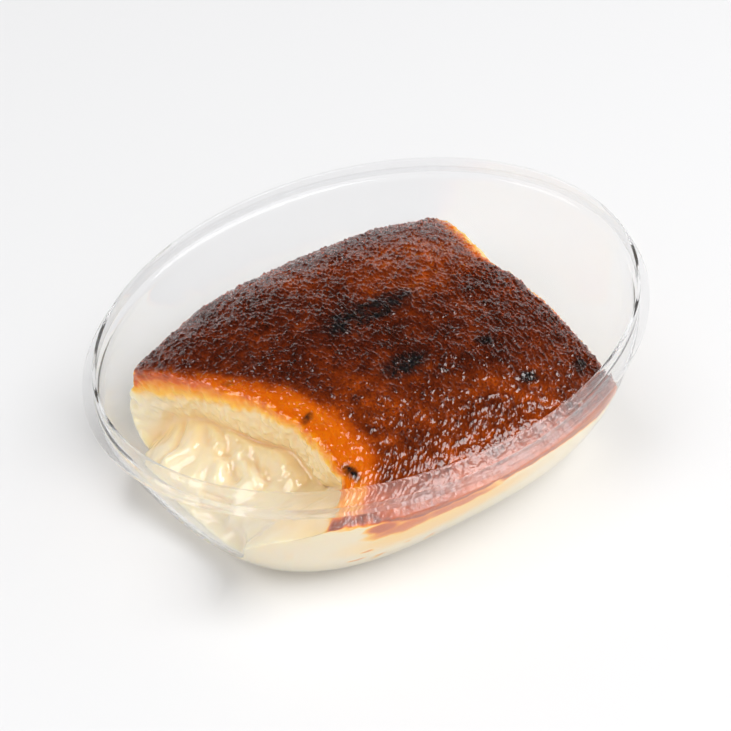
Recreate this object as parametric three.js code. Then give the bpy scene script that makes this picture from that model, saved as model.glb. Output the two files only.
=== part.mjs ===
// Caramelized milk pudding in its oval tub.
// A slab of set milk pudding, burnt on its outer side, is rolled over once and laid lengthwise
// in a clear, stiff, oval tub with a plain collar and a narrow lid flange.
// Millimetres, +Z up, +X along the tub, +Y towards the side that the pudding stays clear of.
// The origin is the middle of the flat base that the tub stands on.

import * as THREE from "three";
import { mergeVertices } from "three/addons/utils/BufferGeometryUtils.js";

// ---- Tub: driving dimensions ----
const COLLAR_LENGTH = 165;
const COLLAR_WIDTH = 123.4;
const TUB_HEIGHT = 48;
const WALL = 1.0;
const FLOOR = 1.3;
const BASE_LENGTH = 108.4;
const BASE_WIDTH = 79.8;
const BASE_SQUARENESS = 3.0; // power of the base oval; the collar is a true ellipse, power 2
const BODY_TOP = 41.2; // where the curved body ends under the flange
const BODY_INSET = 0.7; // how far the body starts inside the collar
const BODY_FULLNESS = 1.37; // power of the body's curve: 1 is a straight cone, 2 a quarter ellipse
const FLANGE_REACH = 2.9;
const FLANGE_THICKNESS = 1.2;
const EDGE_ROUNDING = 0.35;
const TUB_SEGMENTS = 64;
const BODY_STEPS = 7;

// ---- Pudding: driving dimensions ----
const GAP = 0.4; // clearance between the pudding and the tub
const SLAB_AXIS_Y = -6; // line inside the roll that the cross-section is drawn around
const SLAB_AXIS_Z = 16;
const SLAB_RISE = 25.5; // from that line up to the crown of the crust
const BACK_REACH = 58; // from that line out to the rolled back edge
const NEAR_REACH = 61; // towards the near wall, which cuts it off
const BACK_FULLNESS = 2.85; // power of the rounded cross-section on the back side
const NEAR_FULLNESS = 2.2; // and on the near side
const CROWN_X = -7; // where along the slab the crown is highest
const CUT_DROOP = 8.8; // how much the crown falls towards the cut end
const CUT_BACK_DROOP = 1; // and how much more at its back tip
const FAR_DROOP = 10; // and towards the far end
const CUT_TAPER = 14; // how much the back edge draws in towards the cut end
const LIP_OVERHANG = 6; // and how much more below the lip of the crust
const FAR_TAPER = 5; // and towards the far end
const CUT_END_X = -65;
const FAR_END_X = 57.6;
const FAR_SIDE_DRAW = 3.5; // how far the far end is drawn in at the near wall
const FAR_DENTS = [
  { depth: 3, middleY: 14.5, width: 8 },
  { depth: 1, middleY: 29, width: 6 },
];
const UNDERSIDE_PRESS = 6; // the underside would reach this far below the base, so it lies flat
const CUT_MIDDLE_X = -34.5; // the cut edge of the crust near the middle of the slab
const CUT_BACK_TIP = 22.5; // how far the cut edge runs out towards the back tip
const CUT_NEAR_TIP = 20; // and towards the corner on the near wall
const INNER_TOP = 22.8; // top of the inner turn of the roll, at the cut
const INNER_ARCH = 2.5; // how much higher it arches in front of the middle
const INNER_NEAR_RISE = 8.5; // and at the near wall
const INNER_AXIS_Z = 4;
const INNER_BACK = 25.5; // half width of the inner turn, towards the back
const FOLD_DEPTH = 1.2; // the crease between the outer and the inner turn
const FOLD_WIDTH = 0.09;
const EDGE_BULGE = 1.2; // how much the cut of the outer turn swells
const INNER_SWELL = 21; // how far the inner turn slumps out past the cut
const NEAR_SWELL = 4; // how much further at the near wall
const FOOT_SWELL = 8; // and at the foot
const BACK_SWELL = 7; // how far the outer turn slumps at the back
const FACE_MIDDLE_Z = 4;
const SPINE_HALF_LENGTH = 40; // line along the tub that the pudding is pressed back towards
const SAG_DEPTH = 8.3; // what lies less than this below the floor line is flattened out
const SAG_LEFT = 0.3; // to this height
const SLAB_SEGMENTS = 60;
const FACE_RINGS = 18;
const BODY_RINGS = 24;
const FAR_RINGS = 7;

const clamp01 = (t) => Math.min(1, Math.max(0, t));
const smoothStep = (from, to, v) => {
  const t = clamp01((v - from) / (to - from));
  return t * t * (3 - 2 * t);
};
const hill = (v, middle, width) => Math.exp(-(((v - middle) / width) ** 2));
const signedPower = (v, power) => Math.sign(v) * Math.abs(v) ** power;

// ---- The tub's oval sections ----

// Half-axes and power of the body's outline at a height given as a share of the body, 0 to 1.
function bodySection(share) {
  const t = clamp01(share);
  const inward = 1 - (1 - (1 - t) ** BODY_FULLNESS) ** (1 / BODY_FULLNESS);
  const length = COLLAR_LENGTH / 2 - BODY_INSET;
  const width = COLLAR_WIDTH / 2 - BODY_INSET;
  return {
    halfLength: length - (length - BASE_LENGTH / 2) * inward,
    halfWidth: width - (width - BASE_WIDTH / 2) * inward,
    power: 2 + (BASE_SQUARENESS - 2) * (1 - t),
  };
}

const outerSection = (z) => bodySection(z / BODY_TOP);

function innerSection(z) {
  const section = bodySection((z - FLOOR) / (BODY_TOP - FLOOR));
  section.halfLength -= WALL;
  section.halfWidth -= WALL;
  return section;
}

// How far out a point is, as a share of the way from the axis to the oval.
function ovalShare(section, x, y) {
  const along = Math.abs(x / section.halfLength) ** section.power;
  const across = Math.abs(y / section.halfWidth) ** section.power;
  return (along + across) ** (1 / section.power);
}

// ---- Tub ----

// One closed profile, as rings from the middle of the base, out and up the outside, over the rim,
// down the inside and back to the middle of the floor. A ring holds its oval and its height.
function tubRings() {
  const rings = [];
  const ring = (section, z, inset = 0) =>
    rings.push({
      halfLength: section.halfLength - inset,
      halfWidth: section.halfWidth - inset,
      power: section.power,
      z,
    });
  const collar = { halfLength: COLLAR_LENGTH / 2, halfWidth: COLLAR_WIDTH / 2, power: 2 };
  const point = { halfLength: 0, halfWidth: 0, power: 2 };
  const flangeTop = BODY_TOP + FLANGE_THICKNESS;

  ring(point, 0);
  for (let i = 0; i <= BODY_STEPS; i++) {
    const z = BODY_TOP * (i / BODY_STEPS) ** 1.5;
    ring(outerSection(z), z);
  }
  ring(collar, BODY_TOP, -FLANGE_REACH + EDGE_ROUNDING);
  ring(collar, BODY_TOP + EDGE_ROUNDING, -FLANGE_REACH);
  ring(collar, flangeTop - EDGE_ROUNDING, -FLANGE_REACH);
  ring(collar, flangeTop, -FLANGE_REACH + EDGE_ROUNDING);
  ring(collar, flangeTop);
  ring(collar, TUB_HEIGHT - EDGE_ROUNDING);
  ring(collar, TUB_HEIGHT, EDGE_ROUNDING);
  ring(collar, TUB_HEIGHT, WALL - EDGE_ROUNDING);
  ring(collar, TUB_HEIGHT - EDGE_ROUNDING, WALL);
  ring(collar, flangeTop, WALL);
  for (let i = BODY_STEPS; i >= 0; i--) {
    const z = FLOOR + (BODY_TOP - FLOOR) * (i / BODY_STEPS) ** 1.5;
    ring(innerSection(z), z);
  }
  ring(point, FLOOR);
  return rings;
}

// The profile is turned as a lathe turns it, then each ring is drawn out to its own oval.
function makeTub() {
  const rings = tubRings();
  const profile = rings.map((r) => new THREE.Vector2(r.halfLength, r.z));
  const geometry = new THREE.LatheGeometry(profile, TUB_SEGMENTS);
  const position = geometry.getAttribute("position");
  for (let i = 0; i < position.count; i++) {
    const { halfLength, halfWidth, power, z } = rings[i % rings.length];
    const turn = (Math.floor(i / rings.length) % TUB_SEGMENTS) * ((2 * Math.PI) / TUB_SEGMENTS);
    const c = Math.cos(turn);
    const s = Math.sin(turn);
    const reach = halfLength
      ? (Math.abs(c / halfLength) ** power + Math.abs(s / halfWidth) ** power) ** (-1 / power)
      : 0;
    position.setXYZ(i, reach * c, reach * s, z);
  }
  return closed(geometry);
}

// ---- Pudding ----

// The rounded cross-section of the roll: a point at an angle around its axis, at a place along X.
// Angle 0 is the back edge, a quarter turn the crown, a half turn the near wall.
function rollPoint(angle, x) {
  const c = Math.cos(angle);
  const s = Math.sin(angle);
  const toCut = x < CROWN_X;
  const away = Math.abs(x - CROWN_X) / (toCut ? CROWN_X - CUT_END_X : FAR_END_X - CROWN_X);
  const backTip = CUT_BACK_DROOP * away * smoothStep(0.35, 0.85, c);
  const droop = toCut ? CUT_DROOP * away ** 2 + backTip : FAR_DROOP * away ** 3;
  const underLip = LIP_OVERHANG * away ** 2 * (1 - smoothStep(0.3, 0.62, s));
  const taper = toCut ? CUT_TAPER * away ** 2 + underLip : FAR_TAPER * away ** 3;
  const rise = s > 0 ? SLAB_RISE - droop : SLAB_AXIS_Z + UNDERSIDE_PRESS;
  const reach = c > 0 ? BACK_REACH - taper : NEAR_REACH;
  const bend = 2 / (c > 0 ? BACK_FULLNESS : NEAR_FULLNESS);
  return {
    y: SLAB_AXIS_Y + reach * signedPower(c, bend),
    z: SLAB_AXIS_Z + rise * signedPower(s, bend),
  };
}

// Angles an equal length of skin apart all around the roll.
function skinAngles() {
  const fine = 4000;
  const lengths = [0];
  let before = rollPoint(0, CROWN_X);
  for (let i = 1; i <= fine; i++) {
    const point = rollPoint((2 * Math.PI * i) / fine, CROWN_X);
    lengths.push(lengths[i - 1] + Math.hypot(point.y - before.y, point.z - before.z));
    before = point;
  }
  const angles = [];
  for (let segment = 0; segment < SLAB_SEGMENTS; segment++) {
    const at = lengths.findIndex((length) => length >= (lengths[fine] * segment) / SLAB_SEGMENTS);
    angles.push((2 * Math.PI * at) / fine);
  }
  return angles;
}

// Where the crust is cut, seen from above: out at the back tip, in at the middle, out at the wall.
function cutEdgeX(y) {
  const toBack = clamp01((y + 15) / 53);
  const toNear = 1 - smoothStep(-56, -36, y);
  return CUT_MIDDLE_X - CUT_BACK_TIP * toBack ** 1.05 - CUT_NEAR_TIP * toNear;
}

// Share of the way out from the axis of the inner turn, 1 at its outline: a cubed superellipse
// towards the top and the back that rises towards the near wall and has no end there.
function innerShare(y, z) {
  const nearRise = INNER_NEAR_RISE * (1 - smoothStep(-42, -24, y));
  const top = INNER_TOP + INNER_ARCH * hill(y, -13, 6) + nearRise;
  const back = Math.max(y, 0) / INNER_BACK;
  const up = Math.max(z - INNER_AXIS_Z, 0) / (top - INNER_AXIS_Z);
  return Math.cbrt(back ** 3 + up ** 3);
}

// The cut face: the outer turn stands upright around the inner turn, with a crease between
// them, and the soft inner turn slumps out below, to the wall on the near side.
function cutFaceX(y, z) {
  const share = innerShare(y, z);
  const bulge = EDGE_BULGE * Math.sin(Math.PI * clamp01((share - 1) / 0.75)) * smoothStep(-50, -36, y);
  const crease = FOLD_DEPTH * hill(share, 1, FOLD_WIDTH) * smoothStep(-44, -28, y);
  const near = 1 - smoothStep(-40, -22, y);
  const swell = INNER_SWELL + NEAR_SWELL * near + FOOT_SWELL * hill(z, 6, 3.2);
  const slump = swell * Math.sin((Math.PI / 2) * clamp01((1 - share) * (1.9 + 3 * near))) ** 0.75;
  const backSlump = BACK_SWELL * (1 - smoothStep(4, 20, z)) * smoothStep(14, 26, y);
  return cutEdgeX(y) + crease - bulge - slump - backSlump;
}

// The far end: drawn in towards the near wall, dented behind the middle, rounded away below.
function farFaceX(y, z) {
  const draw = FAR_SIDE_DRAW * (1 - smoothStep(-48, -10, y));
  const dents = FAR_DENTS.reduce((sum, dent) => sum + dent.depth * hill(y, dent.middleY, dent.width), 0);
  return FAR_END_X - draw - dents - 2 * Math.abs((z - 18) / 20) ** 3;
}

// The pudding is soft: what would pass through the tub is flattened on its floor and pressed back
// to just inside its wall, straight towards a spine along the tub, by halving in on the share left.
function pressIntoTub(p) {
  const sag = FLOOR + GAP + SAG_LEFT - p.z;
  if (sag > 0) p.z = FLOOR + GAP + SAG_LEFT * (1 - sag / SAG_DEPTH);
  const section = innerSection(p.z - GAP);
  section.halfLength -= GAP;
  section.halfWidth -= GAP;
  const spine = Math.min(SPINE_HALF_LENGTH, Math.max(-SPINE_HALF_LENGTH, p.x));
  const shareAt = (part) => ovalShare(section, spine + (p.x - spine) * part, p.y * part);
  if (shareAt(1) <= 1) return p;
  let low = 0;
  let high = 1;
  for (let i = 0; i < 20; i++) {
    const middle = (low + high) / 2;
    if (shareAt(middle) > 1) high = middle;
    else low = middle;
  }
  p.x = spine + (p.x - spine) * low;
  p.y *= low;
  return p;
}

// A point of the skin. Rings run from the middle of the cut face, over the crust,
// to the middle of the far face.
function puddingPoint(ring, angle) {
  const nominal = rollPoint(angle, CROWN_X);
  const from = cutFaceX(nominal.y, nominal.z);
  const to = farFaceX(nominal.y, nominal.z);
  const p = new THREE.Vector3();
  if (ring <= FACE_RINGS) {
    const spread = (ring / FACE_RINGS) ** 0.9;
    const edge = rollPoint(angle, from);
    p.y = SLAB_AXIS_Y + (edge.y - SLAB_AXIS_Y) * spread;
    p.z = FACE_MIDDLE_Z + (edge.z - FACE_MIDDLE_Z) * spread;
    p.x = cutFaceX(p.y, p.z);
  } else if (ring <= FACE_RINGS + BODY_RINGS) {
    const along = (ring - FACE_RINGS) / BODY_RINGS;
    p.x = from + (to - from) * along;
    const skin = rollPoint(angle, p.x);
    p.y = skin.y;
    p.z = skin.z;
  } else {
    const spread = 1 - (ring - FACE_RINGS - BODY_RINGS) / FAR_RINGS;
    const edge = rollPoint(angle, to);
    p.y = SLAB_AXIS_Y + (edge.y - SLAB_AXIS_Y) * spread;
    p.z = FACE_MIDDLE_Z + (edge.z - FACE_MIDDLE_Z) * spread;
    p.x = farFaceX(p.y, p.z);
  }
  return pressIntoTub(p);
}

// A sphere's grid, pole to pole, carries the skin, so that it closes at both ends.
function makePudding() {
  const rings = FACE_RINGS + BODY_RINGS + FAR_RINGS;
  const geometry = new THREE.SphereGeometry(1, SLAB_SEGMENTS, rings);
  const position = geometry.getAttribute("position");
  const angles = skinAngles();
  const perRing = SLAB_SEGMENTS + 1;
  for (let i = 0; i < position.count; i++) {
    const ring = Math.floor(i / perRing);
    const segment = (SLAB_SEGMENTS - ((i % perRing) % SLAB_SEGMENTS)) % SLAB_SEGMENTS;
    const p = puddingPoint(ring, angles[segment]);
    position.setXYZ(i, p.x, p.y, p.z);
  }
  return closed(geometry);
}

// ---- Assembly ----

// One closed skin: points that meet are merged, and triangles that collapse to a line by that
// are dropped.
function closed(geometry) {
  geometry.deleteAttribute("normal");
  geometry.deleteAttribute("uv");
  const merged = mergeVertices(geometry, 1e-3);
  const corners = merged.getIndex().array;
  const kept = [];
  for (let i = 0; i < corners.length; i += 3) {
    const triangle = corners.slice(i, i + 3);
    if (new Set(triangle).size === 3) kept.push(...triangle);
  }
  merged.setIndex(kept);
  merged.computeVertexNormals();
  return merged;
}

function named(name, geometry, color, roughness) {
  const material = new THREE.MeshStandardMaterial({ color, roughness, metalness: 0 });
  const mesh = new THREE.Mesh(geometry, material);
  mesh.name = name;
  return mesh;
}

const part = new THREE.Group();
part.add(named("tub", makeTub(), 0xf2f4f5, 0.08));
part.add(named("pudding", makePudding(), 0x7a2c0c, 0.35));

export default part;
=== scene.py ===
# Caramelized milk pudding in its oval tub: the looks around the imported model.
# A slab of set milk pudding with a burnt skin is rolled over once and laid lengthwise in a clear tub.
# Metres in Blender; the shapes below are worked out in millimetres, +X along the tub, +Z up.

import math

import bpy
import numpy as np
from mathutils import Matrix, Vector


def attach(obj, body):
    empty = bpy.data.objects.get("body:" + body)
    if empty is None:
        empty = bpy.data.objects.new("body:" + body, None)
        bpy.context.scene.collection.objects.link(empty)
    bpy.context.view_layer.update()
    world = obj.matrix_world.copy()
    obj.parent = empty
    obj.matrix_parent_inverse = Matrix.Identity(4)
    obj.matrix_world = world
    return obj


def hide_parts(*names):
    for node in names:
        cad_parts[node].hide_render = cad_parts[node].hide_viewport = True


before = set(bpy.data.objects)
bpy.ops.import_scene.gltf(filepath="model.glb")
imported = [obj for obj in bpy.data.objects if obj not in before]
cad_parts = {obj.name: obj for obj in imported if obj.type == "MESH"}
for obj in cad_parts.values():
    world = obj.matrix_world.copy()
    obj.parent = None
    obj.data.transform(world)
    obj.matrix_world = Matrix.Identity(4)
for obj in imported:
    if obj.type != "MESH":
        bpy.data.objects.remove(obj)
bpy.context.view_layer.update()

# ---- Camera ----
# The photograph is taken from in front and to the left, looking down at a bit over forty degrees.
# Its angle, distance and focal length come from the outlines of the tub's collar and flange.

VIEW_AZIMUTH = math.radians(-35)
VIEW_ELEVATION = math.radians(43.32)
VIEW_DISTANCE = 1.0
VIEW_TARGET = Vector((-0.01227, -0.01537, 0.048))
FOCAL_PIXELS = 3649.06
PHOTO_SIDE_PIXELS = 731
SENSOR_WIDTH = 36.0


def place_camera():
    """Camera on a ray from the target: back along the view by the distance, looking at the target."""
    toward_camera = Vector(
        (
            math.sin(VIEW_AZIMUTH) * math.cos(VIEW_ELEVATION),
            -math.cos(VIEW_AZIMUTH) * math.cos(VIEW_ELEVATION),
            math.sin(VIEW_ELEVATION),
        )
    )
    data = bpy.data.cameras.new("camera")
    data.sensor_width = SENSOR_WIDTH
    data.lens = SENSOR_WIDTH * FOCAL_PIXELS / PHOTO_SIDE_PIXELS
    camera = bpy.data.objects.new("camera", data)
    camera.location = VIEW_TARGET + toward_camera * VIEW_DISTANCE
    camera.rotation_euler = toward_camera.to_track_quat("Z", "Y").to_euler()
    bpy.context.collection.objects.link(camera)
    bpy.context.scene.camera = camera


place_camera()

# ---- Floor and light ----
# The tub stands on a seamless white table, between a softbox on the right in front and a weaker
# one on the left. The white of the studio reaches a little way up; above it is dim.

FLOOR_RADIUS = 1.6
FLOOR_CORNERS = 96
FLOOR_COLOUR = (0.76, 0.76, 0.767, 1)
# Softboxes: direction from the object, distance and side in metres, power in watts.
SOFTBOXES = (
    ("key", (0.42, -0.46, 0.78), 1.60, 1.15, 25.5),
    ("fill", (-0.62, 0.05, 0.78), 1.60, 1.00, 11.0),
)
SOFTBOX_AIM = Vector((0.0, 0.0, 0.02))
# Brightness of the studio behind the tub against height, from level to straight up.
BACK_LEVELS = ((0.0, 1.0), (0.29, 0.9), (0.47, 0.05), (1.0, 0.03))
# Brightness on the camera's side; it sets in between these two cosines of the ray with that side.
FRONT_LEVEL = 0.75
FRONT_OVER = (0.15, 0.6)


def material_with_nodes(name):
    """New material with an empty node tree; returns it, its tree and its output node."""
    material = bpy.data.materials.new(name)
    material.use_nodes = True
    tree = material.node_tree
    tree.nodes.clear()
    return material, tree, tree.nodes.new("ShaderNodeOutputMaterial")


def colour_ramp(tree, stops):
    """Colour ramp with these stops, each a place from 0 to 1 and a colour of three numbers."""
    ramp = tree.nodes.new("ShaderNodeValToRGB")
    elements = ramp.color_ramp.elements
    while len(elements) < len(stops):
        elements.new(0.5)
    for element, (at, colour) in zip(elements, stops):
        element.position = at
        element.color = (*colour, 1)
    return ramp


def make_floor():
    """Flat round table top: one many-sided face, its corners on a circle at height zero."""
    turns = np.linspace(0, 2 * np.pi, FLOOR_CORNERS, endpoint=False)
    rim = np.stack([np.cos(turns), np.sin(turns), np.zeros_like(turns)], 1) * FLOOR_RADIUS
    mesh = bpy.data.meshes.new("floor")
    mesh.from_pydata(rim.tolist(), [], [list(range(FLOOR_CORNERS))])
    floor = bpy.data.objects.new("floor", mesh)
    bpy.context.collection.objects.link(floor)
    material, tree, output = material_with_nodes("white table")
    paint = tree.nodes.new("ShaderNodeBsdfPrincipled")
    paint.inputs["Base Color"].default_value = FLOOR_COLOUR
    paint.inputs["Roughness"].default_value = 0.7
    paint.inputs["Specular IOR Level"].default_value = 0.2
    tree.links.new(paint.outputs["BSDF"], output.inputs["Surface"])
    mesh.materials.append(material)
    return floor


def light_studio():
    """World brightness as a ramp over the height of the ray, blended to one even level as the
    ray turns to the camera's side."""
    world = bpy.data.worlds.new("studio")
    world.use_nodes = True
    tree = world.node_tree
    tree.nodes.clear()
    place = tree.nodes.new("ShaderNodeTexCoord")
    split = tree.nodes.new("ShaderNodeSeparateXYZ")
    levels = colour_ramp(tree, [(at, (level,) * 3) for at, level in BACK_LEVELS])
    to_front = tree.nodes.new("ShaderNodeVectorMath")
    to_front.operation = "DOT_PRODUCT"
    to_front.inputs[1].default_value = (math.sin(VIEW_AZIMUTH), -math.cos(VIEW_AZIMUTH), 0)
    front = tree.nodes.new("ShaderNodeMapRange")
    front.interpolation_type = "SMOOTHSTEP"
    front.inputs["From Min"].default_value = FRONT_OVER[0]
    front.inputs["From Max"].default_value = FRONT_OVER[1]
    blend = tree.nodes.new("ShaderNodeMix")
    blend.data_type = "RGBA"
    blend.inputs["B"].default_value = (FRONT_LEVEL, FRONT_LEVEL, FRONT_LEVEL, 1)
    glow = tree.nodes.new("ShaderNodeBackground")
    output = tree.nodes.new("ShaderNodeOutputWorld")
    tree.links.new(place.outputs["Generated"], split.inputs[0])
    tree.links.new(split.outputs["Z"], levels.inputs["Fac"])
    tree.links.new(place.outputs["Generated"], to_front.inputs[0])
    tree.links.new(to_front.outputs["Value"], front.inputs["Value"])
    tree.links.new(front.outputs["Result"], blend.inputs["Factor"])
    tree.links.new(levels.outputs["Color"], blend.inputs["A"])
    tree.links.new(blend.outputs["Result"], glow.inputs["Color"])
    tree.links.new(glow.outputs["Background"], output.inputs["Surface"])
    bpy.context.scene.world = world


def hang_softboxes():
    """Square lamps, each on a ray from the aim at its distance, facing back along the ray."""
    for name, direction, distance, side, power in SOFTBOXES:
        toward = Vector(direction).normalized()
        data = bpy.data.lights.new(name, "AREA")
        data.shape = "SQUARE"
        data.size = side
        data.energy = power
        softbox = bpy.data.objects.new(name, data)
        softbox.location = SOFTBOX_AIM + toward * distance
        softbox.rotation_euler = toward.to_track_quat("Z", "Y").to_euler()
        bpy.context.collection.objects.link(softbox)


make_floor()
light_studio()
hang_softboxes()
bpy.context.scene.view_settings.view_transform = "Standard"

# ---- Tub ----
# A thermoformed tub of clear stiff plastic with a wall of one millimetre.
# It has a flat oval base, a rounded body, a narrow flange for the lid and a thin upright collar.

COLLAR_LENGTH = 165.0
COLLAR_WIDTH = 123.4
TUB_HEIGHT = 48.0
WALL = 1.0
FLOOR_THICKNESS = 1.3
BASE_LENGTH = 108.4
BASE_WIDTH = 79.8
BASE_SQUARENESS = 3.0
BODY_TOP = 41.2
BODY_INSET = 0.7
BODY_FULLNESS = 1.37
FLANGE_REACH = 2.9
FLANGE_THICKNESS = 1.2
EDGE_ROUNDING = 0.35
# Small fillet between flange and collar: each row is a height over the flange and a reach.
FLANGE_FILLET = ((0.0, 0.25), (0.08, 0.08), (0.25, 0.0))
# How finely the tub is divided; the gaps are those of the collar's plain rings to the flange
# outside, to the flange's height inside and to the rounded rim.
TUB_COLUMNS = 208
BODY_RINGS = 36
RING_CROWDING = 1.5
ROUNDING_RINGS = 5
COLLAR_RINGS = 4
COLLAR_RING_GAPS = (1.0, 0.5, 0.3)
BASE_RING_SHARES = (0.3, 0.6, 0.8, 0.92)
MILLIMETRE = 0.001
PLASTIC_BENDING = 1.05
PLASTIC_CLEARNESS = 0.972
PLASTIC_ROUGHNESS = 0.07


def body_section(share):
    """Half-axes and power of the body's oval at a share of its height, 0 to 1.
    The inward share is a superellipse of power BODY_FULLNESS; the power eases from 2 at the
    top to BASE_SQUARENESS at the base."""
    up = np.clip(share, 0, 1)
    inward = 1 - (1 - (1 - up) ** BODY_FULLNESS) ** (1 / BODY_FULLNESS)
    length = COLLAR_LENGTH / 2 - BODY_INSET
    width = COLLAR_WIDTH / 2 - BODY_INSET
    half_length = length - (length - BASE_LENGTH / 2) * inward
    half_width = width - (width - BASE_WIDTH / 2) * inward
    return half_length, half_width, 2 + (BASE_SQUARENESS - 2) * (1 - up)


def inner_section(z):
    """The body's inner oval at a height: the outer one, a wall thickness further in."""
    half_length, half_width, power = body_section((z - FLOOR_THICKNESS) / (BODY_TOP - FLOOR_THICKNESS))
    return half_length - WALL, half_width - WALL, power


def tub_rings():
    """Rings of the tub's closed profile as rows of (half length, half width, power, z):
    out under the base, up the body, around the flange, over the rim and down the inside."""
    rows = []
    flange_top = BODY_TOP + FLANGE_THICKNESS
    outer_gap, inner_gap, rim_gap = COLLAR_RING_GAPS
    collar_top = TUB_HEIGHT - EDGE_ROUNDING
    climb = (np.arange(BODY_RINGS + 1) / BODY_RINGS) ** RING_CROWDING

    def collar_ring(z, inset):
        rows.append((COLLAR_LENGTH / 2 - inset, COLLAR_WIDTH / 2 - inset, 2.0, z))

    def rounded_edge(z, inset, turn_from, turn_to):
        for turn in np.radians(np.linspace(turn_from, turn_to, ROUNDING_RINGS)):
            collar_ring(z + EDGE_ROUNDING * math.sin(turn), inset - EDGE_ROUNDING * math.cos(turn))

    def base_rings(section, z, shares):
        half_length, half_width, power = section
        for share in shares:
            rows.append((half_length * share, half_width * share, power, z))

    base_rings(body_section(0.0), 0.0, BASE_RING_SHARES)
    for share in climb:
        rows.append((*body_section(share), BODY_TOP * share))
    rounded_edge(BODY_TOP + EDGE_ROUNDING, EDGE_ROUNDING - FLANGE_REACH, -90, 0)
    rounded_edge(flange_top - EDGE_ROUNDING, EDGE_ROUNDING - FLANGE_REACH, 0, 90)
    for height, reach in FLANGE_FILLET:
        collar_ring(flange_top + height, -reach)
    for z in np.linspace(flange_top + outer_gap, collar_top - rim_gap, COLLAR_RINGS):
        collar_ring(z, 0.0)
    rounded_edge(collar_top, EDGE_ROUNDING, 0, 90)
    rounded_edge(collar_top, WALL - EDGE_ROUNDING, 90, 180)
    for z in np.linspace(collar_top - rim_gap, flange_top + inner_gap, COLLAR_RINGS):
        collar_ring(z, WALL)
    for share in climb[::-1]:
        z = FLOOR_THICKNESS + (BODY_TOP - FLOOR_THICKNESS) * share
        rows.append((*inner_section(z), z))
    base_rings(inner_section(FLOOR_THICKNESS), FLOOR_THICKNESS, BASE_RING_SHARES[::-1])
    return np.array(rows)


def closed_skin(name, grid, first, last, material):
    """Object from a grid of points in millimetres, rings by columns, each ring closed around,
    with a single point before the first ring and after the last."""
    rings, columns = grid.shape[:2]
    points = np.concatenate([[first], grid.reshape(-1, 3), [last]]) * MILLIMETRE
    index = 1 + np.arange(rings * columns).reshape(rings, columns)
    beside = np.roll(index, -1, axis=1)
    quads = np.stack([index[:-1], index[1:], beside[1:], beside[:-1]], -1).reshape(-1, 4)
    top = np.stack([np.zeros(columns, int), index[0], beside[0]], -1)
    end = np.stack([np.full(columns, len(points) - 1), beside[-1], index[-1]], -1)
    mesh = bpy.data.meshes.new(name)
    mesh.from_pydata(points.tolist(), [], quads.tolist() + top.tolist() + end.tolist())
    mesh.polygons.foreach_set("use_smooth", np.ones(len(mesh.polygons), bool))
    mesh.materials.append(material)
    mesh.update()
    piece = bpy.data.objects.new(name, mesh)
    bpy.context.collection.objects.link(piece)
    return piece


def tub_grid():
    """Each ring is a superellipse: at a turn t the point lies on the ray (cos t, sin t)
    at the reach where |x/a|^p + |y/b|^p = 1."""
    rows = tub_rings()
    turns = np.linspace(0, 2 * np.pi, TUB_COLUMNS, endpoint=False)
    cosine, sine = np.cos(turns), np.sin(turns)
    half_length, half_width, power, z = (rows[:, [i]] for i in range(4))
    reach = (abs(cosine / half_length) ** power + abs(sine / half_width) ** power) ** (-1 / power)
    return np.stack([reach * cosine, reach * sine, z + 0 * reach], -1)


def clear_plastic():
    """Clear moulded plastic: smooth, colourless and faintly milky, with a little waviness. A thin
    wall hardly bends what is seen through it, so its refraction is weak and a coat reflects.
    Light on its way to the food, from a lamp or thrown back by the table, goes straight through."""
    material, tree, output = material_with_nodes("clear plastic")
    plastic = tree.nodes.new("ShaderNodeBsdfPrincipled")
    plastic.inputs["Base Color"].default_value = (0.972, 0.975, 0.98, 1)
    plastic.inputs["Transmission Weight"].default_value = PLASTIC_CLEARNESS
    plastic.inputs["IOR"].default_value = PLASTIC_BENDING
    plastic.inputs["Roughness"].default_value = PLASTIC_ROUGHNESS
    plastic.inputs["Coat Weight"].default_value = 0.65
    place = tree.nodes.new("ShaderNodeTexCoord")
    ripple = tree.nodes.new("ShaderNodeTexNoise")
    ripple.inputs["Scale"].default_value = 45
    ripple.inputs["Detail"].default_value = 1
    bump = tree.nodes.new("ShaderNodeBump")
    bump.inputs["Strength"].default_value = 0.015
    bump.inputs["Distance"].default_value = 0.0004
    let_through = tree.nodes.new("ShaderNodeBsdfTransparent")
    let_through.inputs["Color"].default_value = (0.98, 0.98, 0.98, 1)
    path = tree.nodes.new("ShaderNodeLightPath")
    lighting = tree.nodes.new("ShaderNodeMath")
    lighting.operation = "MAXIMUM"
    choose = tree.nodes.new("ShaderNodeMixShader")
    tree.links.new(place.outputs["Object"], ripple.inputs["Vector"])
    tree.links.new(ripple.outputs["Fac"], bump.inputs["Height"])
    tree.links.new(bump.outputs["Normal"], plastic.inputs["Normal"])
    tree.links.new(path.outputs["Is Shadow Ray"], lighting.inputs[0])
    tree.links.new(path.outputs["Is Diffuse Ray"], lighting.inputs[1])
    tree.links.new(lighting.outputs["Value"], choose.inputs["Fac"])
    tree.links.new(plastic.outputs["BSDF"], choose.inputs[1])
    tree.links.new(let_through.outputs["BSDF"], choose.inputs[2])
    tree.links.new(choose.outputs["Shader"], output.inputs["Surface"])
    return material


tub = closed_skin("clear_tub", tub_grid()[:, ::-1], (0, 0, 0), (0, 0, FLOOR_THICKNESS), clear_plastic())
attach(tub, "root")
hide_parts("tub")

# ---- Pudding: shape ----
# A slab of set milk pudding, burnt on its outer side and rolled over once around itself.
# It was cut across at one end, lies on the floor of the tub and leans against the near wall.

# A name in _OVER is a stretch over which something sets in, from nothing to full, and a name in
# _AT is the middle and width of a bell curve. Y is across the tub, negative at the near wall.

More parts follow.
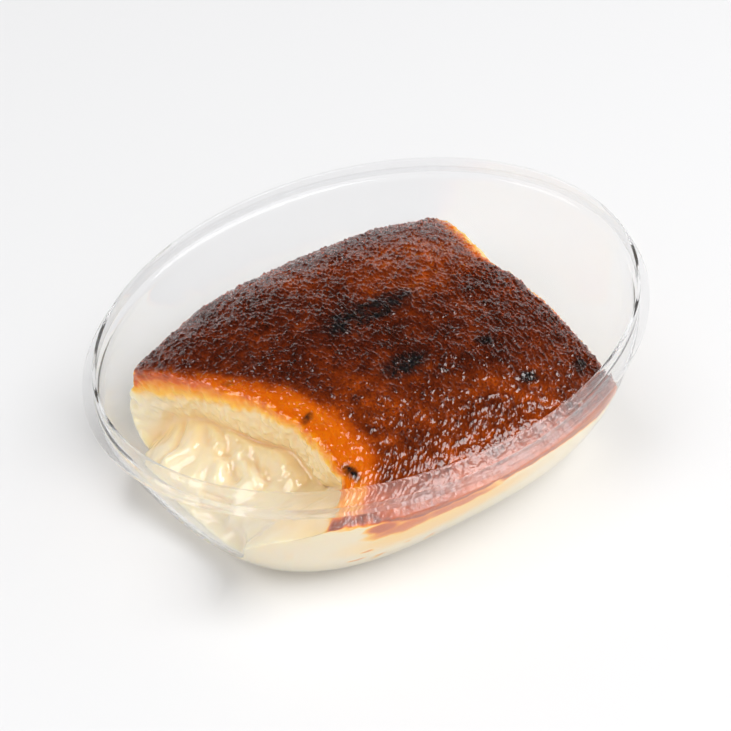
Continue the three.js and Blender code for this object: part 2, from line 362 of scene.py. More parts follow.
# The roll's section at its crown, and how it sinks and narrows towards the cut and the far end.
SLAB_AXIS_Y = -6.0
SLAB_AXIS_Z = 16.0
SLAB_RISE = 25.5
UNDERSIDE_PRESS = 6.0
BACK_REACH = 58.0
NEAR_REACH = 61.0
BACK_FULLNESS = 2.85
NEAR_FULLNESS = 2.2
CROWN_X = -7.0
CUT_END_X = -65.0
FAR_END_X = 57.6
CUT_DROOP = 8.8
FAR_DROOP = 10.0
CUT_TAPER = 13.0
FAR_TAPER = 5.0
LIP_OVERHANG = 6.0
LIP_OVER = (0.62, 0.3)

# The cut edge of the skin, seen from above.
CUT_MIDDLE_X = -34.5
CUT_MIDDLE_Y = -15.0
CUT_BACK_TIP = 22.5
CUT_BACK_WIDTH = 53.0
CUT_BACK_POWER = 1.05
CUT_NEAR_TIP = 20.0
NEAR_TIP_OVER = (-36.0, -56.0)

# The outer turn in the cut face, and the crease between it and the inner turn.
EDGE_BULGE = 1.2
BULGE_WIDTH = 0.75
BULGE_OVER = (-50.0, -36.0)
CREASE_DEPTH = 0.6
CREASE_WIDTH = 0.09
CREASE_OVER = (-44.0, -28.0)

# The inner turn: its outline in the cut face, and how far it slumps out of it.
INNER_AXIS_Z = 4.0
INNER_TOP = 22.8
INNER_BACK = 25.5
INNER_ARCH = 2.5
ARCH_AT = (-13.0, 6.0)
INNER_NEAR_RISE = 8.5
NEAR_RISE_OVER = (-24.0, -42.0)
INNER_SWELL = 21.0
NEAR_SWELL = 4.0
NEAR_SWELL_OVER = (-22.0, -40.0)
FOOT_SWELL = 8.0
FOOT_AT = (6.0, 3.2)
CORNER_SWELL = 6.0
CORNER_AT = (-31.0, 8.0)
SLUMP_STEEPNESS = 1.9
NEAR_STEEPNESS = 3.0
SLUMP_POWER = 0.75
TIP_SLUMP_LOSS = 0.8
BACK_SWELL = 7.0
BACK_SWELL_OVER = (14.0, 26.0)
BACK_SWELL_OVER_Z = (20.0, 4.0)

# The far end: drawn in on the near side, with dents of a depth, middle and width behind.
FAR_SIDE_DRAW = 3.5
FAR_DRAW_OVER = (-10.0, -48.0)
FAR_DENTS = ((3.0, 14.5, 8.0), (1.0, 29.0, 6.0))
FAR_ROUNDING = 2.0
FAR_MIDDLE_Z = 18.0
FAR_HALF_HEIGHT = 20.0

# How it is pressed into the tub: this far into the plastic, towards a spine along the middle.
PRESSED_IN = 0.25
SPINE_HALF_LENGTH = 40.0
SAG_DEPTH = 8.3
SAG_LEFT = 0.3
HALVINGS = 14

# The grid: rings along the roll, columns around it, and how often its edges are eased.
FACE_MIDDLE_Z = 4.0
CRUST_ANGLES = (-14.0, 194.0)
SKIN_DIVISIONS = 20000
CRUST_COLUMNS = 270
UNDERSIDE_COLUMNS = 28
FACE_RINGS = 66
FACE_CROWDING = 0.9
CRUST_RINGS = 254
FAR_RINGS = 12
EASE_REACH = 12
EDGE_PASSES = 24
FACE_PASSES = 8
# In rings from the cut edge and from the far edge: where the long side of the roll sets in.
CUT_EDGE_OVER = (-4, 5)
FAR_EDGE_OVER = (4, -2)


def smooth_step(start, end, value):
    """0 before the start, 1 past the end, with a smooth cubic between; the end may be the lower."""
    t = np.clip((value - start) / (end - start), 0, 1)
    return t * t * (3 - 2 * t)


def hill(value, middle, width):
    """Bell curve of height 1 around middle."""
    return np.exp(-(((value - middle) / width) ** 2))


def signed_power(value, power):
    """The power of the size, with the sign kept."""
    return np.sign(value) * abs(value) ** power


def roll_section(angle, x):
    """Height and width of the roll's skin at an angle around its axis: a superellipse, fuller at
    the back, that droops and draws in with the square of the distance from the crown towards the
    cut and the cube of it towards the far end. Under the lip of the skin the cut end's back is
    drawn in further."""
    cosine, sine = np.cos(angle), np.sin(angle)
    to_cut = x < CROWN_X
    away = abs(x - CROWN_X) / np.where(to_cut, CROWN_X - CUT_END_X, FAR_END_X - CROWN_X)
    droop = np.where(to_cut, CUT_DROOP * away**2, FAR_DROOP * away**3)
    taper = np.where(to_cut, CUT_TAPER * away**2, FAR_TAPER * away**3)
    lip = np.where(to_cut, LIP_OVERHANG * away**2 * smooth_step(*LIP_OVER, sine), 0)
    rise = np.where(sine > 0, SLAB_RISE - droop, SLAB_AXIS_Z + UNDERSIDE_PRESS)
    reach = np.where(cosine > 0, BACK_REACH - taper - lip, NEAR_REACH)
    bend = 2 / np.where(cosine > 0, BACK_FULLNESS, NEAR_FULLNESS)
    y = SLAB_AXIS_Y + reach * signed_power(cosine, bend)
    return y, SLAB_AXIS_Z + rise * signed_power(sine, bend)


def cut_edge_x(y):
    """Where the crust is cut, seen from above: out at the back tip, in at the middle, out again
    at the corner on the near wall."""
    to_back = np.clip((y - CUT_MIDDLE_Y) / CUT_BACK_WIDTH, 0, 1)
    back = CUT_BACK_TIP * to_back**CUT_BACK_POWER
    return CUT_MIDDLE_X - back - CUT_NEAR_TIP * smooth_step(*NEAR_TIP_OVER, y)


def inner_share(y, z):
    """Share of the way out from the axis of the inner turn, 1 at its outline: a cubed superellipse
    towards the top and the back that rises towards the near wall and has no end there."""
    top = INNER_TOP + INNER_ARCH * hill(y, *ARCH_AT) + INNER_NEAR_RISE * smooth_step(*NEAR_RISE_OVER, y)
    back = np.maximum(y, 0) / INNER_BACK
    up = np.maximum(z - INNER_AXIS_Z, 0) / (top - INNER_AXIS_Z)
    return (back**3 + up**3) ** (1 / 3)


def slump(share, y, z):
    """How far the soft inner turn has slumped out: a quarter sine wave inwards from its outline,
    steeper at the near side, with more at its foot and its near corner and less at the near tip."""
    near = smooth_step(*NEAR_SWELL_OVER, y)
    swell = INNER_SWELL + NEAR_SWELL * near + FOOT_SWELL * hill(z, *FOOT_AT)
    swell = swell + CORNER_SWELL * hill(y, *CORNER_AT)
    inwards = np.clip((1 - share) * (SLUMP_STEEPNESS + NEAR_STEEPNESS * near), 0, 1)
    out = swell * np.sin(np.pi / 2 * inwards) ** SLUMP_POWER
    return out * (1 - TIP_SLUMP_LOSS * smooth_step(*NEAR_TIP_OVER, y))


def cut_face_x(y, z):
    """The cut face: the outer turn stands upright and a little bulged, by half a sine wave, around
    the inner turn, with a crease between them, and the inner turn and the foot of the back slump."""
    share = inner_share(y, z)
    outwards = np.clip((share - 1) / BULGE_WIDTH, 0, 1)
    bulge = EDGE_BULGE * np.sin(np.pi * outwards) * smooth_step(*BULGE_OVER, y)
    crease = CREASE_DEPTH * hill(share, 1, CREASE_WIDTH) * smooth_step(*CREASE_OVER, y)
    back_slump = BACK_SWELL * smooth_step(*BACK_SWELL_OVER_Z, z) * smooth_step(*BACK_SWELL_OVER, y)
    return cut_edge_x(y) + crease - bulge - slump(share, y, z) - back_slump


def far_face_x(y, z):
    """The far end: drawn in towards the near wall, dented behind the middle, and rounded away with
    the cube of the height over or under its middle."""
    draw = FAR_SIDE_DRAW * smooth_step(*FAR_DRAW_OVER, y)
    for depth, middle, width in FAR_DENTS:
        draw = draw + depth * hill(y, middle, width)
    return FAR_END_X - draw - FAR_ROUNDING * abs((z - FAR_MIDDLE_Z) / FAR_HALF_HEIGHT) ** 3


def wall_share(x, y, z):
    """How far out a point is in the tub's inner oval at its height, 1 a little way into the wall."""
    half_length, half_width, power = inner_section(z)
    along = abs(x / (half_length + PRESSED_IN)) ** power
    across = abs(y / (half_width + PRESSED_IN)) ** power
    return (along + across) ** (1 / power)


def press_into_tub(points):
    """The pudding is soft: what would pass through the tub is flattened on its floor and pressed
    back to just inside the plastic, straight towards a spine along the tub, by halving in on the
    share left."""
    x, y, z = points[..., 0], points[..., 1], points[..., 2]
    underside = FLOOR_THICKNESS - PRESSED_IN
    sag = underside + SAG_LEFT - z
    z = np.where(sag > 0, underside + SAG_LEFT * (1 - sag / SAG_DEPTH), z)
    spine = np.clip(x, -SPINE_HALF_LENGTH, SPINE_HALF_LENGTH)
    low, high = np.zeros_like(x), np.ones_like(x)
    outside = wall_share(x, y, z) > 1
    for _ in range(HALVINGS):
        middle = (low + high) / 2
        beyond = wall_share(spine + (x - spine) * middle, y * middle, z) > 1
        low, high = np.where(beyond, low, middle), np.where(beyond, middle, high)
    share = np.where(outside, low, 1)
    return np.stack([spine + (x - spine) * share, y * share, z], -1)


def skin_angles():
    """Angles of the columns, an equal length of skin apart: close together over the crust, wide
    apart underneath. The length is summed over a fine division of the roll's section."""
    crust_from, crust_to = CRUST_ANGLES

    def equal_steps(start, end, count):
        angle = np.linspace(math.radians(start), math.radians(end), SKIN_DIVISIONS)
        y, z = roll_section(angle, CROWN_X)
        length = np.concatenate([[0], np.cumsum(np.hypot(np.diff(y), np.diff(z)))])
        return np.interp(np.linspace(0, length[-1], count, endpoint=False), length, angle)

    over_crust = equal_steps(crust_from, crust_to, CRUST_COLUMNS)
    return np.concatenate([over_crust, equal_steps(crust_to, crust_from + 360, UNDERSIDE_COLUMNS)])


def rolled_slab():
    """Rings from the middle of the cut face, over its edge, along the slab and over the far
    edge to the middle of the far face."""
    angle = skin_angles()[None, :]
    nominal_y, nominal_z = roll_section(angle, CROWN_X)
    start = cut_face_x(nominal_y, nominal_z)
    end = far_face_x(nominal_y, nominal_z)

    def end_face(face_x, edge_x, spread):
        edge_y, edge_z = roll_section(angle, edge_x)
        y = SLAB_AXIS_Y + (edge_y - SLAB_AXIS_Y) * spread
        z = FACE_MIDDLE_Z + (edge_z - FACE_MIDDLE_Z) * spread
        return np.stack([face_x(y, z), y, z], -1)

    outwards = (np.arange(1, FACE_RINGS + 1)[:, None] / FACE_RINGS) ** FACE_CROWDING
    face = end_face(cut_face_x, start, outwards)
    along = np.arange(1, CRUST_RINGS + 1)[:, None] / CRUST_RINGS
    side_x = start + (end - start) * along
    side = np.stack([side_x, *roll_section(angle, side_x)], -1)
    inwards = 1 - np.arange(1, FAR_RINGS)[:, None] / FAR_RINGS
    return np.concatenate([face, side, end_face(far_face_x, end, inwards)])


def ease_edges(grid, rings, reach, passes):
    """Rounds what is sharp near the given rings: each point moves up to half way to the middle of
    its neighbours on the rings before and after, again and again."""
    ring = np.arange(len(grid))
    near = np.min([abs(ring - r) for r in rings], axis=0)
    share = (0.5 * np.clip(1 - near / reach, 0, 1))[1:-1, None, None]
    for _ in range(passes):
        middle = (grid[:-2] + grid[2:]) / 2
        grid[1:-1] += share * (middle - grid[1:-1])
    return grid


# The slab without relief: both end edges are eased, then the crease and foot within the cut face.
far_edge = FACE_RINGS + CRUST_RINGS
slab = ease_edges(rolled_slab(), (FACE_RINGS, far_edge), EASE_REACH, EDGE_PASSES)
slab = ease_edges(slab, (FACE_RINGS // 2,), FACE_RINGS // 2, FACE_PASSES)
slab_x, slab_y, slab_z = (slab[..., i] for i in range(3))
ring_at = np.arange(len(slab))[:, None] + np.zeros(slab.shape[1])
past_cut_edge = smooth_step(*CUT_EDGE_OVER, ring_at - FACE_RINGS)
on_side = past_cut_edge * smooth_step(*FAR_EDGE_OVER, ring_at - far_edge)
on_face = ring_at < FACE_RINGS
roll_share = inner_share(slab_y, slab_z)

# Lower limit of the burnt skin, along the tub: where it meets the near wall. It is lower at the back.
SKIN_LINE_X = (-50, -36, -25, 0, 30, 45)
SKIN_LINE_Z = (31.5, 32.0, 28.5, 29.0, 28.0, 25.0)
BACK_LOWER = 2.5
CRUST_OVER = (-1.5, 2.5)
above_line = slab_z - np.interp(slab_x, SKIN_LINE_X, SKIN_LINE_Z) + BACK_LOWER * (slab_y > 0)
crust = on_side * smooth_step(*CRUST_OVER, above_line)

# Folds of the slumped inner turn, seen from above: width, height (less than nothing for a furrow)
# and the line that each one follows.
FOLDS = (
    (1.8, -0.5, ((-51.5, 26.2), (-49.0, 24.2), (-47.6, 21.8))),
    (1.1, -1.0, ((-48.0, 21.5), (-52.4, 16.8), (-57.3, 13.6), (-62.0, 13.5))),
    (2.2, 1.7, ((-48.5, 13.5), (-54.6, 9.4), (-60.3, 11.0))),
    (1.3, 1.5, ((-45.3, 13.4), (-46.6, 9.5), (-48.0, 3.5))),
    (2.0, -1.6, ((-48.0, 2.4), (-49.4, -1.3), (-50.6, -7.4))),
    (2.1, 2.0, ((-50.4, -1.0), (-54.3, -3.6))),
    (1.0, 1.4, ((-45.8, -1.5), (-47.0, -8.6), (-47.3, -14.2))),
    (1.2, -1.3, ((-44.2, -4.0), (-44.8, -9.0), (-45.0, -15.0))),
    (2.3, 1.7, ((-42.3, 5.5), (-42.0, -1.9), (-39.6, -10.0), (-38.6, -20.0))),
    (0.9, 1.0, ((-40.2, -15.7), (-40.6, -22.0))),
    (1.2, 1.4, ((-56.5, -14.0), (-52.5, -22.0), (-48.0, -30.0))),
    (1.0, -1.2, ((-59.0, -4.0), (-56.0, -12.0))),
)


def folds(x, y):
    """Sum of bell-shaped ridges and furrows, by the distance to each one's line."""
    total = np.zeros_like(x)
    for width, rise, line in FOLDS:
        nearest = np.full_like(x, np.inf)
        for (from_x, from_y), (to_x, to_y) in zip(line[:-1], line[1:]):
            step_x, step_y = to_x - from_x, to_y - from_y
            share = ((x - from_x) * step_x + (y - from_y) * step_y) / (step_x**2 + step_y**2)
            share = np.clip(share, 0, 1)
            distance = np.hypot(x - from_x - share * step_x, y - from_y - share * step_y)
            nearest = np.minimum(nearest, distance)
        total += rise * hill(nearest, 0, width)
    return total


# The skin has set in fine round pebbles with narrow valleys, over a few gentle dents, and is
# pressed smoother at the near wall. The cream of the cut face has soft lumps, with a coarser
# grain on the outer turn and the folds on the inner one.
PEBBLE_SIZE = 0.98
PEBBLE_HEIGHT = 0.95
PEBBLE_POWER = 0.9
FINE_PEBBLES = 0.4
FINE_PEBBLE_SIZE = 0.75
PRESSED_SMOOTH = 0.75
PRESSED_OVER = (-44.0, -52.0)
# Smooth random fields, each with its size, height and seed.
DENTS = ((14.0, 0.45, 6), (5.0, 0.3, 7), (2.6, 0.2, 5))
LUMPS = ((9.0, 0.8, 8), (3.6, 0.3, 9), (1.5, 0.06, 10))
GRAIN_SIZE = 3.2
GRAIN_HEIGHT = 1.1
FINE_GRAIN_SIZE = 1.3
FINE_GRAIN_HEIGHT = 0.25
# Stretches in the share of the way out from the inner turn's axis, and in height for the folds.
OUTER_TURN_OVER = (1.0, 1.3)
INNER_TURN_OVER = (1.08, 0.98)
FOLDS_OVER_Z = (8.0, 14.0)
NOISE_TABLE = 256
NOISE_GAIN = 1.6


def lattice_noise(points, size, seed):
    """Smooth random field, about -1 to 1, over points in millimetres: a random slope at every
    corner of a cubic lattice of the given size, blended between corners by 6t^5 - 15t^4 + 10t^3."""
    random = np.random.default_rng(seed)
    order = random.permutation(NOISE_TABLE)
    slopes = random.normal(size=(NOISE_TABLE, 3))
    slopes /= np.linalg.norm(slopes, axis=1, keepdims=True)
    scaled = points / size
    corner = np.floor(scaled).astype(int)
    within = scaled - corner
    blend = within**3 * (within * (within * 6 - 15) + 10)
    total = np.zeros(points.shape[:-1])
    for offset in np.ndindex(2, 2, 2):
        at = corner + offset
        pick = order[at[..., 0] % NOISE_TABLE]
        pick = order[(pick + at[..., 1]) % NOISE_TABLE]
        pick = order[(pick + at[..., 2]) % NOISE_TABLE]
        slope = (slopes[pick] * (within - offset)).sum(-1)
        total += slope * np.where(offset, blend, 1 - blend).prod(-1)
    return total * NOISE_GAIN


def noise_layers(points, layers):
    """Sum of smooth random fields, each layer with its size, height and seed."""
    return sum(height * lattice_noise(points, size, seed) for size, height, seed in layers)


def outward(grid):
    """Outward unit normals of the grid, from the differences along and around it."""
    along = np.gradient(grid, axis=0)
    around = (np.roll(grid, -1, axis=1) - np.roll(grid, 1, axis=1)) / 2
    normal = np.cross(around, along)
    return normal / np.maximum(np.linalg.norm(normal, axis=-1, keepdims=True), 1e-9)


pebbles = abs(lattice_noise(slab, PEBBLE_SIZE, seed=3)) ** PEBBLE_POWER
pebbles += FINE_PEBBLES * lattice_noise(slab, PEBBLE_SIZE * FINE_PEBBLE_SIZE, seed=4)
pebble_height = PEBBLE_HEIGHT * (1 - PRESSED_SMOOTH * smooth_step(*PRESSED_OVER, slab_y))
dents = noise_layers(slab, DENTS)
lumps = noise_layers(slab, LUMPS)
outer_turn = on_face * smooth_step(*OUTER_TURN_OVER, roll_share)
grain = GRAIN_HEIGHT * abs(lattice_noise(slab, GRAIN_SIZE, seed=11))
grain += FINE_GRAIN_HEIGHT * lattice_noise(slab, FINE_GRAIN_SIZE, seed=12)
inner_turn = on_face * smooth_step(*INNER_TURN_OVER, roll_share) * smooth_step(*FOLDS_OVER_Z, slab_z)
lumps += outer_turn * grain + inner_turn * folds(slab_x, slab_y)
relief = crust * (pebble_height * pebbles + dents) + (1 - crust) * lumps
pressed = press_into_tub(slab + outward(slab) * relief[..., None])

# ---- Pudding: colours ----
# The milk pudding is cream white and moist. Its skin was burnt on a hot tray: it goes from cream
# at the cut edges over amber to dark mahogany, with a few charred spots.

# Charred spots: middle x and y, half length, half width, turn in degrees, strength.
CHARRED = (
    (7, 8, 14, 4.4, 0, 0.9),
    (-3, 8.2, 7, 5.0, 0, 0.9),
    (0.5, -15.6, 7.5, 4.0, 0, 0.95),
    (25.6, -19, 3.2, 1.8, -20, 0.8),
    (28.2, -36.2, 3.6, 2.2, 0, 0.9),
    (45, -37.9, 4.0, 2.0, 50, 0.8),
    (-32.4, -16.2, 2.6, 1.3, 20, 0.8),
    (-33.0, -38.0, 1.6, 3.4, 10, 0.8),
    (-42.0, 9.2, 1.2, 2.0, 30, 0.5),
)
CHAR_BREAKS = ((3.0, 0.6, 31), (1.2, 0.5, 32))
CHAR_GAIN = 1.15
CHAR_LOSS = 0.15

# Areas where the skin is thinner and redder, given in the same way.
REDDER = (
    (28, 20, 20, 14, 0, 1.0),
    (-14, -22, 14, 12, 0, 1.0),
    (8, 30, 16, 6, 0, 0.6),
    (2, -38, 42, 10, 0, 0.9),
)
SPOT_EDGE = (1.5, 0.5)

# Levels of burning, 0 cream to 1 nearly black. The skin turns amber and then dark at distances in
# from the cut edge (less than nothing on the cut face), given across the tub from the near wall to
# the back tip. Both lines are ragged, and the skin is mottled by its pebbles and in wide patches.
BAND_Y = (-44, -35, -27, -17, -11, -5, 5, 14, 23, 32)
AMBER_FROM = (-3.0, -3.0, -4.0, -6.0, -5.0, -4.5, -6.0, -9.0, -11.0, -11.0)
AMBER_TO = 0.8
AMBER_POWER = 1.25
AMBER = 0.34
DARK_FROM = (11.5, 11.0, 10.0, 8.5, 8.0, 7.0, 5.0, 3.2, 1.5, 1.0)
DARK_OVER = (-4.0, 5.0)
DARK_WAVER = 2.0
DARK_WAVER_SIZE = 9.0
MAHOGANY = 0.82
REDDER_BY = 0.15
RAGGED = ((4.0, 1.0, 22), (1.6, 0.9, 28))
PATCHES = ((11.0, 0.10, 24), (4.0, 0.08, 25))
PEBBLE_MOTTLE = 0.3
PEBBLE_MIDDLE = 0.35
AMBER_MOTTLE = 0.25
MOTTLE_OVER = (-2.0, 2.0)

# The far edge: a band, wider at the back, in which the skin is only amber, less so at the back.
FAR_BAND = 4.0
FAR_BAND_MORE = 5.5
FAR_BAND_MORE_OVER = (4.0, 20.0)
FAR_DARK_OVER = (0.3, 1.15)
FAR_RAGGED = 0.8
FAR_AMBER = 0.30
FAR_AMBER_LESS = 0.20
FAR_AMBER_LESS_OVER = (8.0, 22.0)

# The near wall and the skin's lower line: the line wavers, a fine dark streak of caramel runs along
# it, and the skin just above it is lighter and redder, partly as thinner skin and partly as painted
# sheen. Past the cut edge the amber ends on the cut face.
LINE_WAVER = ((4.0, 0.9, 29), (1.5, 0.5, 30))
# Partly painted sheen: how much lighter and redder the skin just above the line is made, and where.
THIN_SKIN_AND_SHEEN_BY = 0.42
THIN_SKIN_AND_SHEEN_OVER = (9.0, 3.0)
THIN_SKIN_AND_SHEEN_OVER_Y = (-40.0, -46.0)
STREAK = 0.62
STREAK_AT = (0.9, 0.9)
STREAK_OVER = (-1.0, 2.0)
STREAK_BEFORE_Y = -35.0
SKIN_OVER = (-1.1, 0.9)
FACE_AMBER_OVER = (-38.0, -30.0)
FACE_AMBER_OVER_Z = (21.0, 27.0)
FACE_AMBER_FROM = 0.5
FACE_AMBER_TO = -13.0

# Caramel that ran down between the pudding and the near wall: middle along and up the wall, half
# length, half height, turn in degrees, level.
WALL_SMEARS = (
    (-26, 26.0, 10, 2.8, 6, 0.33),
    (-33, 28.5, 4.5, 2.2, 0, 0.42),
    (-10, 27.0, 13, 2.2, 0, 0.35),
    (-12, 21.5, 28, 6.0, 4, 0.09),
    (-34.7, 16.5, 1.6, 0.4, 5, 0.34),
    (-36, 11.0, 2.2, 0.5, 10, 0.34),
    (-29, 9.6, 1.4, 0.4, 0, 0.30),
    (-13, 10.0, 1.2, 0.4, 0, 0.28),
    (-22, 13.5, 0.8, 0.4, 0, 0.24),
)
SMEARS_OVER_Y = (-30.0, -38.0)
SMEARS_OVER = (-4.0, 0.0)

# The cut face is a little deeper cream on its outer turn, and painted shade makes it a deeper
# yellow in the crease and in the furrows.
OUTER_CREAM = 0.045
OUTER_CREAM_OVER = (0.95, 1.12)
OUTER_CREAM_OVER_Y = (30.0, 20.0)
# Painted shade: deeper yellow in the crease and in the furrows, where shade falls.
CREASE_PAINTED_SHADE = 0.04
CREASE_SHADE_WIDTH = 0.12
CREAM_RINGS = FACE_RINGS + 2
FURROW_PAINTED_SHADE = 0.025
FURROW_SHADE_OVER = (0.2, -1.0)


def spots(x, y, rows):
    """Strongest of soft-edged ellipses, each at its place, size, turn and strength."""
    total = np.zeros_like(x)
    for middle_x, middle_y, half_length, half_width, degrees, strength in rows:
        turn = math.radians(degrees)
        along = (x - middle_x) * math.cos(turn) + (y - middle_y) * math.sin(turn)
        across = (y - middle_y) * math.cos(turn) - (x - middle_x) * math.sin(turn)
        distance = np.sqrt((along / half_length) ** 2 + (across / half_width) ** 2)
        total = np.maximum(total, strength * smooth_step(*SPOT_EDGE, distance))
    return total


def skin_distance():
    """Distance along the skin from the cut edge and to the far edge, negative past them: the
    lengths between rings, summed along each column."""
    step = np.linalg.norm(np.diff(slab, axis=0), axis=-1)
    travelled = np.concatenate([np.zeros((1, slab.shape[1])), np.cumsum(step, axis=0)])
    return travelled - travelled[FACE_RINGS - 1], travelled[far_edge - 1] - travelled


def burnt_skin(from_cut, ragged):
    """Amber that grows with a power of the distance in from the cut edge, then dark, plus mottle
    that is weaker where it is only amber."""
    seen_from_above = np.stack([slab_x, slab_y, 0 * slab_z], -1)
    inside = from_cut + ragged
    amber_from = np.interp(slab_y, BAND_Y, AMBER_FROM)
    amber = AMBER * np.clip((inside - amber_from) / (AMBER_TO - amber_from), 0, 1) ** AMBER_POWER
    waver = DARK_WAVER * lattice_noise(seen_from_above, DARK_WAVER_SIZE, seed=21)
    dark_from = np.interp(slab_y, BAND_Y, DARK_FROM) + waver
    dark = smooth_step(*DARK_OVER, inside - dark_from)
    darkest = MAHOGANY - REDDER_BY * spots(slab_x, slab_y, REDDER)
    mottle = noise_layers(seen_from_above, PATCHES) + PEBBLE_MOTTLE * (pebbles - PEBBLE_MIDDLE)
    mottle *= (AMBER_MOTTLE + (1 - AMBER_MOTTLE) * dark) * smooth_step(*MOTTLE_OVER, from_cut)
    return amber + (darkest - amber) * dark + mottle


def paler_far_edge(level, to_far, ragged):
    """The level times one that falls to a small share within the band along the far edge."""
    band = FAR_BAND + FAR_BAND_MORE * smooth_step(*FAR_BAND_MORE_OVER, slab_y)
    dark = smooth_step(*FAR_DARK_OVER, (to_far + FAR_RAGGED * ragged) / band)
    share_left = FAR_AMBER - FAR_AMBER_LESS * smooth_step(*FAR_AMBER_LESS_OVER, slab_y)
    return level * (share_left * (1 - dark) + dark)


def down_the_wall(level, from_cut):
    """The level lowered just above the wavering lower line of the skin by the near wall, partly for
    thinner skin and partly as painted sheen, cut off under the line, with the streak along the line
    and the smears below it, where they are the darker."""
    waver = noise_layers(slab, LINE_WAVER)
    above = above_line + waver
    # Painted sheen in part: the skin just above the lower line by the near wall is made lighter and
    # redder; the rest is thinner skin.
    thin_skin_and_sheen = smooth_step(*THIN_SKIN_AND_SHEEN_OVER, above) * smooth_step(*THIN_SKIN_AND_SHEEN_OVER_Y, slab_y)
    level = level * (1 - THIN_SKIN_AND_SHEEN_BY * thin_skin_and_sheen)
    streak = STREAK * hill(above, *STREAK_AT) * smooth_step(*STREAK_OVER, from_cut)
    level = np.maximum(level, streak * (slab_y < STREAK_BEFORE_Y))
    over_edge = smooth_step(*FACE_AMBER_OVER, slab_y) * smooth_step(*FACE_AMBER_OVER_Z, slab_z)
    skin = np.maximum(smooth_step(*SKIN_OVER, above), (from_cut < FACE_AMBER_FROM) * over_edge)
    level = level * np.where(from_cut > FACE_AMBER_TO, skin, 0)
    by_the_wall = smooth_step(*SMEARS_OVER_Y, slab_y) * smooth_step(*SMEARS_OVER, from_cut)
    return np.maximum(level, spots(slab_x, slab_z + waver, WALL_SMEARS) * by_the_wall)


def cream_tone_and_painted_shade():
    """Faint levels on the cut face: deeper cream over the outer turn, and painted shade in the crease
    and in the furrows.
    """
    on_outer_turn = smooth_step(*OUTER_CREAM_OVER, roll_share) * smooth_step(*OUTER_CREAM_OVER_Y, slab_y)
    in_crease = hill(roll_share, 1, CREASE_SHADE_WIDTH)
    in_furrows = inner_turn * smooth_step(*FURROW_SHADE_OVER, lumps)
    return OUTER_CREAM * on_outer_turn + CREASE_PAINTED_SHADE * in_crease + FURROW_PAINTED_SHADE * in_furrows


def browning_and_painted_light():
    """How far the pudding is burnt at every point of the grid, 0 cream to 1 nearly black, with painted
    shade in the cut face's crease and furrows and painted sheen just above the skin's line by the near
    wall.
    """
    from_cut, to_far = skin_distance()
    ragged = noise_layers(slab, RAGGED)
    level = paler_far_edge(burnt_skin(from_cut, ragged), to_far, ragged)
    level = down_the_wall(level, from_cut)
    # The cut face gets its outer turn's deeper cream and the painted shade of its crease and furrows.
    level = np.where(ring_at < CREAM_RINGS, np.maximum(level, cream_tone_and_painted_shade()), level)
    return np.clip(level, 0, 1)


def charring():
    """Strength of the charred spots, broken up by noise."""
    strength = spots(slab_x, slab_y, CHARRED) * (CHAR_GAIN + noise_layers(slab, CHAR_BREAKS))
    return np.clip(strength - CHAR_LOSS, 0, 1) * on_side


# Levels of burning, with the painted shade of the crease and furrows and the painted sheen by the near
# wall mixed in.
burn_and_painted_light = browning_and_painted_light()
char = charring()


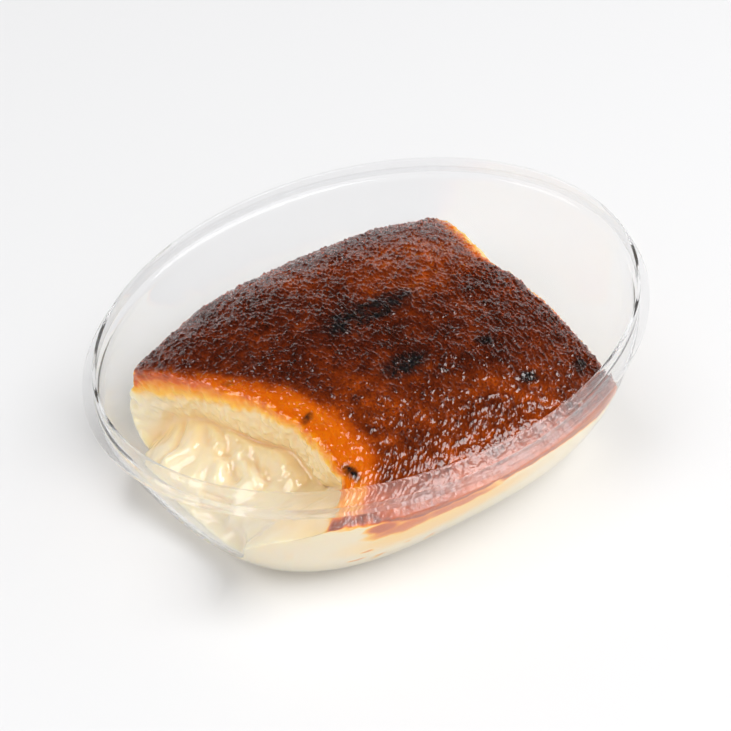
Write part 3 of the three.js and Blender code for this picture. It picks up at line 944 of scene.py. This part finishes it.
def milk_pudding():
    """Cream base with light scattered inside it; the burn_and_painted_light attribute, which holds the
    burning and also the painted shade of the cut face's crease and furrows and the painted sheen by the
    near wall, leads the colour from cream over amber and red-brown to black and makes the fine grain
    stronger, the char attribute blackens it, and everything is moist and shiny."""
    material, tree, output = material_with_nodes("milk pudding")
    nodes, links = tree.nodes, tree.links
    food = nodes.new("ShaderNodeBsdfPrincipled")
    place = nodes.new("ShaderNodeTexCoord")
    level = nodes.new("ShaderNodeAttribute")
    # This attribute holds the burning and also painted shade and painted sheen.
    level.attribute_name = "burn_and_painted_light"
    char_level = nodes.new("ShaderNodeAttribute")
    char_level.attribute_name = "char"
    ramp = colour_ramp(
        tree,
        (
            (0.00, (0.80, 0.69, 0.48)),
            (0.05, (0.84, 0.62, 0.32)),
            (0.12, (0.88, 0.47, 0.06)),
            (0.22, (0.80, 0.26, 0.002)),
            (0.34, (0.60, 0.108, 0.001)),
            (0.50, (0.37, 0.056, 0.001)),
            (0.64, (0.16, 0.020, 0.001)),
            (0.80, (0.055, 0.006, 0.001)),
            (1.00, (0.012, 0.003, 0.001)),
        ),
    )
    blacken = nodes.new("ShaderNodeMix")
    blacken.data_type = "RGBA"
    blacken.inputs["B"].default_value = (0.006, 0.005, 0.005, 1)
    fine_grain = nodes.new("ShaderNodeTexNoise")
    fine_grain.inputs["Scale"].default_value = 900
    fine_grain.inputs["Detail"].default_value = 1
    bump = nodes.new("ShaderNodeBump")
    bump.inputs["Distance"].default_value = 0.00025
    rougher = nodes.new("ShaderNodeMapRange")
    rougher.inputs["From Max"].default_value = 0.5
    rougher.inputs["To Min"].default_value = 0.08
    rougher.inputs["To Max"].default_value = 0.9
    links.new(place.outputs["Object"], fine_grain.inputs["Vector"])
    links.new(fine_grain.outputs["Fac"], bump.inputs["Height"])
    links.new(level.outputs["Fac"], rougher.inputs["Value"])
    links.new(rougher.outputs["Result"], bump.inputs["Strength"])
    links.new(bump.outputs["Normal"], food.inputs["Normal"])
    links.new(bump.outputs["Normal"], food.inputs["Coat Normal"])
    links.new(level.outputs["Fac"], ramp.inputs["Fac"])
    links.new(char_level.outputs["Fac"], blacken.inputs["Factor"])
    links.new(ramp.outputs["Color"], blacken.inputs["A"])
    links.new(blacken.outputs["Result"], food.inputs["Base Color"])
    food.inputs["Roughness"].default_value = 0.38
    food.inputs["Specular IOR Level"].default_value = 0.0
    food.inputs["Subsurface Weight"].default_value = 0.75
    food.inputs["Subsurface Radius"].default_value = (1.0, 0.8, 0.4)
    food.inputs["Subsurface Scale"].default_value = 0.006
    food.inputs["Coat Weight"].default_value = 1.0
    food.inputs["Coat Roughness"].default_value = 0.03
    food.inputs["Coat IOR"].default_value = 1.65
    links.new(food.outputs["BSDF"], output.inputs["Surface"])
    return material


pudding = closed_skin(
    "rolled_pudding",
    pressed[:, ::-1],
    pressed[0].mean(0),
    pressed[-1].mean(0),
    milk_pudding(),
)
# The first attribute holds the burning with painted shade and painted sheen mixed in.
for name, values in (("burn_and_painted_light", burn_and_painted_light), ("char", char)):
    attribute = pudding.data.attributes.new(name, "FLOAT", "POINT")
    attribute.data.foreach_set("value", np.concatenate([[0], values[:, ::-1].ravel(), [0]]))
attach(pudding, "root")
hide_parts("pudding")
